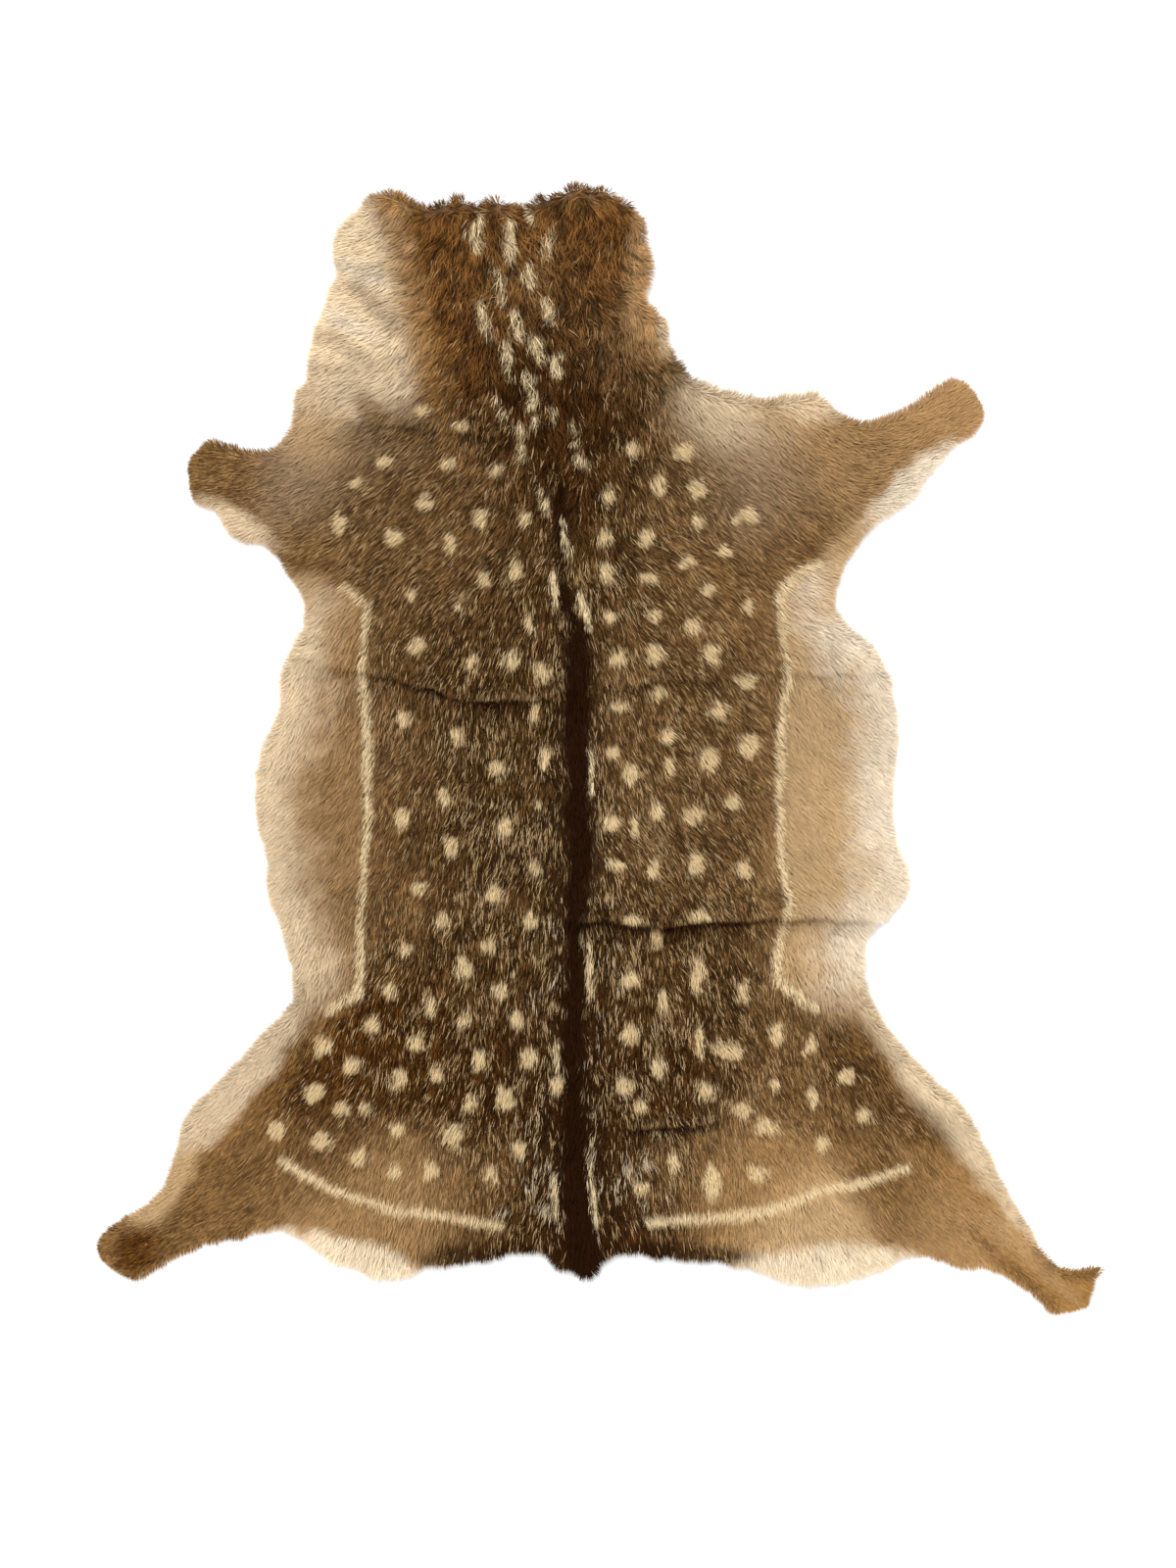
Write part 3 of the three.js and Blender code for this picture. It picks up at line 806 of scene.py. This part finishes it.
def hair_tints(x, y, way, length, inside, tousle, ticks, apart, tuft_marks):
    """Colours of the body and the tip of each hair, mixed from dark, plain and pale-tipped hairs.

    apart is a hair's distance from the middle of its tuft, in tuft sizes; far hairs get painted shade
    between tufts.
    """
    count = len(x)
    places = [
        (x + share * length * way[:, 0], y + share * length * way[:, 1]) for share in HAIR_PLACES.values()
    ]
    middle = [np.mean(pair, axis=0) for pair in zip(*places)]
    colour, stripe, from_stripe = coat_colour(*middle, inside)
    brown = np.clip((BROWN["under"] - colour @ np.array(BRIGHTNESS)) / BROWN["run"], 0, 1) * (1 - stripe)
    chance = random.random(count)
    lock = grain(*middle, "lock") + grain(*middle, "lock broad")
    varied = TONE["hair"] * random.normal(size=count) + grain(x, y, "hair tone")
    varied = varied + TONE["tousled"] * tousle * (lock + TONE["tuft"] * tuft_marks[0])
    # painted shade between the tufts: hair far from its tuft's middle is darker
    between_tuft_shade = TONE["between_tuft_shade"] * (tousle - SMOOTH_COAT).clip(0) * comes_in(apart, TUFT_GAP_SHADE)
    tone = 1 + (TONE["plain"] + TONE["brown"] * brown) * varied - between_tuft_shade
    body = colour * np.clip(tone, *TONE_SPAN)[:, None]
    dark_share = DARK_HAIRS["share"] + DARK_HAIRS["ticked"] * ticks - DARK_HAIRS["lock"] * lock
    body = over(body, "dark", DARK_HAIRS["cover"] * brown * (chance < dark_share))
    low_back = comes_in(-y, FROST_FORE) * comes_in(-from_stripe, FROST_BESIDE) * comes_in(y, FROST_HIND)
    frosty = smooth((tuft_marks[1] - 1 + FROSTED["tufts"] * low_back) / FROSTED["soft"])
    ticked, frosted = (
        (chance > 1 - share * (kind["plain"] + kind["clump"] * pale_clumps(*middle, use))) * brown
        for share, kind, use in ((ticks, TICKED, "tick"), (frosty, FROSTED, "frost"))
    )
    edge = random.random(count)
    tints = []
    for tint, place, pale in zip((body, TIP_LIGHT * body), places, PALE_COVER.values()):
        shade, ridge_highlight = fold_marks(*place)
        lit_ridge_hairs = RIDGE_HIGHLIGHT_HAIRS["cover"] * ridge_highlight * (chance > RIDGE_HIGHLIGHT_HAIRS["bare"])
        # the tick tint also paints the highlight along the folds' lit ridges
        tint = over(tint, "tick", pale * np.maximum(ticked, lit_ridge_hairs))
        tint = over(tint, "frost", pale * frosted)
        for mark, cover in (("spot", spot_cover(*place)), ("line", pale_lines(*place))):
            shown = smooth((cover - edge) / MARK["mix"] + 0.5) * (cover > MARK["least"])
            tint = over(tint, mark, MARK["cover"] * shown)
        tints.append(np.clip(tint * (1 - shade[:, None] * SHADE_TINT), *TINT_SPAN))
    return tints


def coat_lay(x, y):
    """The columns of the lay table at points: lean, hair length, root rise, tousle and ticks."""
    return blend(x, y, [(px, py, reach, values) for place, px, py, reach, *values in LAY])


# The skin

def skin_inset(x, y):
    """How far the skin stays inside the rim at points."""
    cut = np.zeros(x.shape)
    for place, px, py, reach in CUT_EDGES:
        cut = np.maximum(cut, nearness(x, y, px, py, reach))
    return SKIN_INSET + (CUT_INSET - SKIN_INSET) * cut


def skin_edge(rim, relief):
    """The skin's own edge, inside the rim by the hair's overhang."""
    eased = rim
    for _ in range(2):
        eased = (np.roll(eased, 1, axis=0) + 2 * eased + np.roll(eased, -1, axis=0)) / 4
    inset = skin_inset(eased[:, 0], eased[:, 1])
    run = np.roll(eased, -1, axis=0) - np.roll(eased, 1, axis=0)
    run /= np.linalg.norm(run, axis=1)[:, None]
    inward = np.stack([-run[:, 1], run[:, 0]], axis=1) * inset[:, None]
    edge = eased + inward
    if relief.read(relief.distance, edge[:, 0], edge[:, 1]).mean() < 0:
        edge = eased - inward
    deep = relief.read(relief.distance, edge[:, 0], edge[:, 1]) > EDGE_DEEP * inset
    return edge[deep]


def skin_mesh(rim, relief):
    """A closed sheet: the hair side on top, the flesh side below and the cut edge all round."""
    edge = skin_edge(rim, relief)
    low, high = rim.min(axis=0), rim.max(axis=0)
    rows = np.arange(low[1], high[1], SKIN_PITCH * ROW_HEIGHT)
    grid = np.array([
        (x, y)
        for k, y in enumerate(rows)
        for x in np.arange(low[0] + (k % 2) * SKIN_PITCH / 2, high[0], SKIN_PITCH)
    ])
    room = relief.read(relief.distance, grid[:, 0], grid[:, 1]) - skin_inset(grid[:, 0], grid[:, 1])
    grid = grid[room > GRID_ROOM * SKIN_PITCH]
    flat = [Vector(p) for p in np.vstack([edge, grid])]
    ring = [(k, (k + 1) % len(edge)) for k in range(len(edge))]
    points, _, faces, *_ = delaunay_2d_cdt(flat, ring, [], 1, 1e-4)
    points = np.array([(p.x, p.y) for p in points])
    faces = np.array(faces)
    x, y = points.T
    floor = np.maximum(relief.read(relief.height, x, y), SKIN_LOW)
    count = len(points)
    vertices = np.vstack([np.column_stack([points, floor + up]) for up in (SKIN_THICK, 0)])
    wall = []
    for a, b in border_edges(faces):
        wall += [(a, a + count, b + count), (a, b + count, b)]
    triangles = np.vstack([faces, faces[:, ::-1] + count, np.array(wall)])
    mesh = bpy.data.meshes.new("skin")
    mesh.from_pydata((vertices * MM).tolist(), [], triangles.tolist())
    mesh.polygons.foreach_set("material_index", np.where(np.arange(len(triangles)) < len(faces), 0, 1))
    mesh.polygons.foreach_set("use_smooth", np.ones(len(triangles), bool))
    under = coat_colour(x, y, relief.read(relief.distance, x, y))[0]
    # painted shade of the folds on the down
    under = under * (1 - UNDERCOAT["shade"] * fold_marks(x, y)[0])[:, None]
    # lighter down under pale coat, so the painted shade between the hairs stays faint there
    under = under * (1 + UNDERCOAT["lighter"] * comes_in(under.mean(axis=1), UNDERCOAT["pale"]))[:, None]
    under = np.vstack([under, under])
    tint = mesh.attributes.new("under_tint", "FLOAT_COLOR", "POINT")
    tint.data.foreach_set("color", np.column_stack([under, np.ones(len(under))]).ravel())
    mesh.update()
    a, b, c = (points[faces[:, k]] for k in range(3))
    return mesh, 0.5 * np.abs(np.cross(b - a, c - a)).sum() * MM * MM


# The hairs

def roots(kind, relief, keep):
    """Places of hair roots on a grid, each moved at random within its cell."""
    pitch = kind["pitch"]
    low = relief.low
    high = low + RELIEF_STEP * np.array(relief.distance.shape[::-1])
    columns, rows = (np.arange(low[k], high[k], pitch) for k in range(2))
    x, y = (grid.ravel() for grid in np.meshgrid(columns, rows))
    x = x + pitch * (random.random(len(x)) - 0.5)
    y = y + pitch * (random.random(len(y)) - 0.5)
    inside = relief.read(relief.distance, x, y)
    inset = skin_inset(x, y)
    kept = (inside > inset + ROOT_ROOM) & keep(x, y, inside)
    return x[kept], y[kept], inside[kept], inset[kept]


def nearest_tuft(x, y):
    """The way from points to the middle of the nearest tuft, and two random numbers of that tuft."""
    i, j = cells(x, y, TUFT_SIZE)
    best = np.full(x.shape, np.inf)
    way = np.zeros((2, len(x)))
    marks = np.zeros((2, len(x)))
    for a, b in ((i + column, j + row) for column in (-1, 0, 1) for row in (-1, 0, 1)):
        at = {use: scatter(a, b, SEED + pattern) for use, pattern in TUFT_PATTERNS.items()}
        to_x = (a + 0.5 + TUFT_STRAY * at["x"]) * TUFT_SIZE - x
        to_y = (b + 0.5 + TUFT_STRAY * at["y"]) * TUFT_SIZE - y
        distance = np.hypot(to_x, to_y)
        nearer = distance < best
        best = np.where(nearer, distance, best)
        way = np.where(nearer, [to_x, to_y], way)
        marks = np.where(nearer, [at["tone"], at["frost"]], marks)
    return way.T, marks


def unit(vectors):
    return vectors / np.maximum(np.linalg.norm(vectors, axis=1), 1e-6)[:, None]


def follicles(name, kind, relief, keep):
    """A cloud of hair roots that carries each hair's direction, size and colours."""
    x, y, inside, inset = roots(kind, relief, keep)
    count = len(x)
    lean, hair, stand, tousle, ticks = coat_lay(x, y)
    strayed = grain(x, y, "stray") + grain(x, y, "stray broad") + STRAY * random.normal(size=count)
    angle = np.radians(lean + tousle * strayed)
    way = np.stack([np.sin(angle), -np.cos(angle)], axis=1)
    tuft_way, tuft_marks = nearest_tuft(x, y)
    way += TUFT_PULL * (tousle - SMOOTH_COAT).clip(0)[:, None] * tuft_way / hair[:, None]
    inward = unit(np.stack(relief.slope(relief.distance, x, y), axis=1))
    cut = (SKIN_INSET - inset) / (SKIN_INSET - CUT_INSET)
    parting = RIM_TURN * (1 + CUT_RAGGED * cut * tuft_marks[0])
    outward = RIM_OUTWARD * smooth((inset + parting - inside) / parting)
    way = unit(way * (1 - outward[:, None]) - inward * outward[:, None])
    rise_x, rise_y = relief.slope(relief.height, x, y)
    out = unit(np.column_stack([-rise_x, -rise_y, np.ones(count)]))
    uneven = HAIR_SPREAD * random.normal(size=count) + grain(x, y, "hair length")
    length = np.clip(hair * kind["share"] * (1 + uneven), *HAIR_SPAN)
    ragged = tousle * (1 + RIM_RAGGED * tuft_marks[0])
    room = inside + RIM_SPREAD * hair * random.random(count) + ragged
    rim_room = np.maximum(room, RIM_LEAST) / BLADE_REACH
    leaving = np.clip(-(way * inward).sum(axis=1), 0, 1)
    length = np.where(leaving > LEAVING, np.minimum(length, rim_room / leaving.clip(LEAVING)), length)
    below, depth = fold_field(x, y)
    parted = depth * comes_in(below + length, PARTED_UPPER) * comes_in(-below, PARTED_LOWER)
    length = length + parted * (np.maximum(PARTED_PAST - below, PARTED_LEAST) - length).clip(None, 0)
    base = np.maximum(relief.read(relief.height, x, y), SKIN_LOW)
    ahead = relief.read(relief.height, x + length * way[:, 0], y + length * way[:, 1])
    lie = unit(np.column_stack([way, (np.maximum(ahead, SKIN_LOW) - base) / length]))
    lift = (1 + LIFT_SPREAD * random.normal(size=count)).clip(*LIFT_SPAN) * (1 + PARTED_LIFT * parted)
    lift = lift * kind["lift"] * stand / STAND_DRAWN
    roll = ROLL["spread"] * np.minimum(tousle, ROLL["tousled"]) ** ROLL["power"] * random.normal(size=count)
    apart = np.linalg.norm(tuft_way, axis=1) / TUFT_SIZE
    body, tip = hair_tints(x, y, way, length, inside, tousle, ticks, apart, tuft_marks)
    height = base + SKIN_THICK - ROOT_SUNK
    across = math.ceil(math.sqrt(count))
    order = np.arange(count)
    cell = np.stack([order % across, order // across, np.zeros(count)], axis=1) / across
    mesh = bpy.data.meshes.new(name + "_roots")
    mesh.vertices.add(count)
    mesh.vertices.foreach_set("co", (np.column_stack([x, y, height]) * MM).ravel())
    opaque = np.ones((count, 1))
    for field, form, key, values in (
        ("lie", "FLOAT_VECTOR", "vector", lie),
        ("out", "FLOAT_VECTOR", "vector", out),
        ("cell", "FLOAT_VECTOR", "vector", cell),
        ("hair_length", "FLOAT", "value", length * MM),
        ("lift", "FLOAT", "value", lift),
        ("roll", "FLOAT", "value", roll.clip(-ROLL["most"], ROLL["most"])),
        ("body_tint", "FLOAT_COLOR", "color", np.hstack([body, opaque])),
        ("tip_tint", "FLOAT_COLOR", "color", np.hstack([tip, opaque])),
    ):
        mesh.attributes.new(field, form, "POINT").data.foreach_set(key, values.ravel())
    mesh.update()
    return mesh, MAP_FILL / across


def hair_blade():
    """One hair as two faces, a root half that rises and a tip half that lies down, one unit wide."""
    mesh = bpy.data.meshes.new("hair_blade")
    points = [(0, 0, 0), (-0.5, 0.45, 0.25), (0.5, 0.45, 0.25), (0, BLADE_REACH, 0.34)]
    mesh.from_pydata(points, [], [(0, 2, 1), (2, 3, 1)])
    along = mesh.attributes.new("along", "FLOAT", "POINT")
    along.data.foreach_set("value", [0, 0.5, 0.5, 1])
    patch = mesh.attributes.new("blade_patch", "FLOAT_VECTOR", "POINT")
    patch.data.foreach_set("vector", [0, 0, 0, 0, 1, 0, 1, 0, 0, 1, 1, 0])
    return bpy.data.objects.new("hair_blade", mesh)


class Tree:
    """Short ways to add, set and join nodes of a tree."""

    def __init__(self, tree):
        self.tree = tree

    def feed(self, made, **inputs):
        """Sets or joins a node's inputs: _2 is its input 2, and other underscores stand for spaces."""
        for key, value in inputs.items():
            socket = made.inputs[int(key[1:])] if key[0] == "_" else made.inputs[key.replace("_", " ")]
            if isinstance(value, bpy.types.NodeSocket):
                self.tree.links.new(value, socket)
            else:
                socket.default_value = value

    def add(self, kind, settings=None, **inputs):
        made = self.tree.nodes.new(kind)
        for key, value in (settings or {}).items():
            setattr(made, key, value)
        self.feed(made, **inputs)
        return made

    def node(self, kind, settings=None, **inputs):
        """Adds a node and returns its first output."""
        return self.add(kind, settings, **inputs).outputs[0]

    def attribute(self, name, form):
        return self.node("GeometryNodeInputNamedAttribute", {"data_type": form}, Name=name)


def coat_tree():
    """Sets a hair on every root, turned the way it lies, and gives each its own cell of the colour map."""
    group = bpy.data.node_groups.new("coat_of_hair", "GeometryNodeTree")
    for name, way, form in (
        ("Roots", "INPUT", "Geometry"),
        ("Hair blade", "INPUT", "Object"),
        ("Hair width", "INPUT", "Float"),
        ("Map cell", "INPUT", "Float"),
        ("Coat finish", "INPUT", "Material"),
        ("Hair", "OUTPUT", "Geometry"),
    ):
        group.interface.new_socket(name, in_out=way, socket_type="NodeSocket" + form)
    tree = Tree(group)
    given = group.nodes.new("NodeGroupInput").outputs
    blade = tree.add("GeometryNodeObjectInfo", Object=given["Hair blade"])
    length = tree.attribute("hair_length", "FLOAT")
    lift = tree.attribute("lift", "FLOAT")
    rise = tree.node("ShaderNodeMath", {"operation": "MULTIPLY"}, _0=length, _1=lift)
    size = tree.node("ShaderNodeCombineXYZ", X=given["Hair width"], Y=length, Z=rise)
    lie = tree.attribute("lie", "FLOAT_VECTOR")
    turned = tree.node("FunctionNodeAlignRotationToVector", {"axis": "Y"}, Vector=lie)
    turned = tree.node("FunctionNodeAlignRotationToVector", {"axis": "Z", "pivot_axis": "Y"},
                       Rotation=turned, Vector=tree.attribute("out", "FLOAT_VECTOR"))
    angle = tree.attribute("roll", "FLOAT")
    roll = tree.node("FunctionNodeAxisAngleToRotation", Axis=(0, 1, 0), Angle=angle)
    turned = tree.node("FunctionNodeRotateRotation", {"rotation_space": "LOCAL"},
                       Rotation=turned, Rotate_By=roll)
    hairs = tree.node("GeometryNodeInstanceOnPoints", Points=given["Roots"],
                      Instance=blade.outputs["Geometry"], Rotation=turned, Scale=size)
    hairs = tree.node("GeometryNodeRealizeInstances", Geometry=hairs)
    place = tree.node("ShaderNodeVectorMath", {"operation": "MULTIPLY_ADD"},
                      _0=tree.attribute("blade_patch", "FLOAT_VECTOR"), _1=given["Map cell"],
                      _2=tree.attribute("cell", "FLOAT_VECTOR"))
    hairs = tree.node("GeometryNodeStoreNamedAttribute", {"data_type": "FLOAT2", "domain": "CORNER"},
                      Geometry=hairs, Name="OFBake", Value=place)
    hairs = tree.node("GeometryNodeSetMaterial", Geometry=hairs, Material=given["Coat finish"])
    tree.add("NodeGroupOutput", Hair=hairs)
    return group


def grown_coat(name, kind, relief, keep, group, blade, finish):
    """One piece of the coat as a plain mesh."""
    mesh, cell = follicles(name, kind, relief, keep)
    bed = bpy.data.objects.new(name + "_roots", mesh)
    bpy.context.scene.collection.objects.link(bed)
    modifier = bed.modifiers.new("coat", "NODES")
    modifier.node_group = group
    width = kind["width"] * MM
    values = {"Hair blade": blade, "Hair width": width, "Map cell": cell, "Coat finish": finish}
    for item in group.interface.items_tree:
        if item.in_out == "INPUT" and item.name in values:
            modifier[item.identifier] = values[item.name]
    hair = bpy.data.meshes.new_from_object(bed.evaluated_get(bpy.context.evaluated_depsgraph_get()))
    hair.name = name
    bpy.data.objects.remove(bed)
    bpy.data.meshes.remove(mesh)
    for field in ("lie", "out", "cell", "hair_length", "lift", "roll", "blade_patch"):
        if field in hair.attributes:
            hair.attributes.remove(hair.attributes[field])
    piece = bpy.data.objects.new(name, hair)
    bpy.context.scene.collection.objects.link(piece)
    return piece


# Finishes

def new_finish(name):
    finish = bpy.data.materials.new(name)
    finish.use_nodes = True
    finish.node_tree.nodes.clear()
    tree = Tree(finish.node_tree)
    shader = tree.add("ShaderNodeBsdfPrincipled")
    tree.add("ShaderNodeOutputMaterial", Surface=shader.outputs["BSDF"])
    return finish, tree, shader


def read_colour(tree, name):
    return tree.node("ShaderNodeAttribute", {"attribute_type": "GEOMETRY", "attribute_name": name})


def mixed_colour(tree, mode, share, first, second):
    settings = {"data_type": "RGBA", "blend_type": mode}
    return tree.add("ShaderNodeMix", settings, _0=share, _6=first, _7=second).outputs[2]


def ranged(tree, value, low, high, to_low, to_high, form="LINEAR"):
    return tree.node("ShaderNodeMapRange", {"interpolation_type": form}, Value=value,
                     From_Min=low, From_Max=high, To_Min=to_low, To_Max=to_high)


def on_object(tree):
    return tree.add("ShaderNodeTexCoord").outputs["Object"]


def hair_finish():
    """Soft hair, darker at its root, with its own body and tip colours."""
    finish, tree, shader = new_finish("deer_hair")
    along = tree.add("ShaderNodeAttribute", {"attribute_name": "along"}).outputs["Fac"]
    tip = ranged(tree, along, 0.35, 0.8, 0.0, 1.0, "SMOOTHSTEP")
    colour = mixed_colour(tree, "MIX", tip, read_colour(tree, "body_tint"), read_colour(tree, "tip_tint"))
    root = ranged(tree, along, 0.0, 0.45, 0.55, 1.0)
    tree.feed(shader, Base_Color=mixed_colour(tree, "MULTIPLY", 1.0, colour, root), Roughness=0.55,
              Specular_IOR_Level=0.03, Specular_Tint=(1.0, 0.75, 0.5, 1))
    return finish


def undercoat_finish():
    """Short down between the hairs, streaked the way the coat lies and darkened as painted shade between
    hairs.
    """
    finish, tree, shader = new_finish("deer_undercoat")
    drawn_out = tree.node("ShaderNodeMapping", Vector=on_object(tree), Scale=(1, 0.25, 1))
    streaks = tree.node("ShaderNodeTexNoise", Vector=drawn_out, Scale=900.0, Detail=2.0, Roughness=0.6)
    # painted shade between the hairs, darkest in the streaks
    shade = ranged(tree, streaks, 0.3, 0.7, 0.3, 0.95)
    colour = mixed_colour(tree, "MULTIPLY", 1.0, read_colour(tree, "under_tint"), shade)
    tree.feed(shader, Base_Color=colour, Roughness=0.8,
              Normal=tree.node("ShaderNodeBump", Height=streaks, Strength=0.6, Distance=0.002))
    return finish


def flesh_finish():
    """The tanned flesh side and cut edge: pale suede with a soft nap."""
    finish, tree, shader = new_finish("tanned_flesh_side")
    spot = on_object(tree)
    cloud = tree.node("ShaderNodeTexNoise", Vector=spot, Scale=9.0, Detail=4.0, Roughness=0.6)
    nap = tree.node("ShaderNodeTexNoise", Vector=spot, Scale=650.0, Detail=3.0, Roughness=0.7)
    colour = mixed_colour(tree, "MIX", cloud, (*linear("flesh") * 0.82, 1), (*linear("flesh"), 1))
    shade = ranged(tree, nap, 0.3, 0.7, 0.86, 1.0)
    tree.feed(shader, Base_Color=mixed_colour(tree, "MULTIPLY", 1.0, colour, shade), Roughness=0.92,
              Normal=tree.node("ShaderNodeBump", Height=nap, Strength=0.4, Distance=0.0006))
    return finish


# Floor, light and camera

def floor_finish():
    finish, tree, shader = new_finish("pale_floor")
    tree.feed(shader, Base_Color=(0.93, 0.93, 0.93, 1), Roughness=0.9, Specular_IOR_Level=0.1)
    return finish


def studio():
    """A white floor, soft light from above the neck, and a camera straight above."""
    scene = bpy.context.scene
    mesh = bpy.data.meshes.new("floor")
    corners = [(x * FLOOR_HALF, y * FLOOR_HALF, 0) for x, y in ((-1, -1), (1, -1), (1, 1), (-1, 1))]
    mesh.from_pydata(corners, [], [(0, 1, 2, 3)])
    mesh.materials.append(floor_finish())
    floor = bpy.data.objects.new("floor", mesh)
    scene.collection.objects.link(floor)
    scene.world = bpy.data.worlds.new("studio")
    scene.world.use_nodes = True
    Tree(scene.world.node_tree).feed(scene.world.node_tree.nodes["Background"], **WORLD)
    for name, place, softness, strength in LIGHTS:
        lamp = bpy.data.lights.new(name, "SUN")
        lamp.angle = math.radians(softness)
        lamp.energy = strength
        light = bpy.data.objects.new(name, lamp)
        light.location = place
        light.rotation_euler = (-Vector(place)).to_track_quat("-Z", "Y").to_euler()
        scene.collection.objects.link(light)
    scene.view_settings.view_transform = "Standard"
    camera = bpy.data.cameras.new("camera")
    camera.lens = CAMERA_LENS
    camera.sensor_width = CAMERA_SENSOR
    view = bpy.data.objects.new("camera", camera)
    view.location = (*FRAME_MIDDLE, FRAME_HEIGHT * CAMERA_LENS / CAMERA_SENSOR)
    scene.collection.objects.link(view)
    scene.camera = view


def build():
    points, triangles = joined_cad(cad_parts["hide"])
    rim = rim_loop(points, triangles)
    relief = Relief(rim, BVHTree.FromPolygons(points.tolist(), triangles.tolist()))
    mesh, area = skin_mesh(rim, relief)
    mesh.materials.append(undercoat_finish())
    mesh.materials.append(flesh_finish())
    skin = bpy.data.objects.new("skin", mesh)
    bpy.context.scene.collection.objects.link(skin)
    group = coat_tree()
    blade = hair_blade()
    finish = hair_finish()
    spine = np.array(sorted(SPINE_STRIPE, key=lambda row: row[1]))

    def left(x, y, inside):
        return x < np.interp(y, spine[:, 1], spine[:, 0])

    def right(x, y, inside):
        return ~left(x, y, inside)

    def rim_only(x, y, inside):
        return inside < SKIN_INSET + RIM_BAND

    coat = [
        grown_coat(name, kind, relief, keep, group, blade, finish)
        for name, kind, keep in (
            ("under_hair_left", UNDER_HAIR, left),
            ("under_hair_right", UNDER_HAIR, right),
            ("guard_hair_left", GUARD_HAIR, left),
            ("guard_hair_right", GUARD_HAIR, right),
            ("rim_hair", RIM_HAIR, rim_only),
        )
    ]
    bpy.data.objects.remove(blade)
    for piece in (skin, *coat):
        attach(piece, "root")
        print(piece.name, len(piece.data.polygons), "faces")
    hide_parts("hide")


build()
studio()
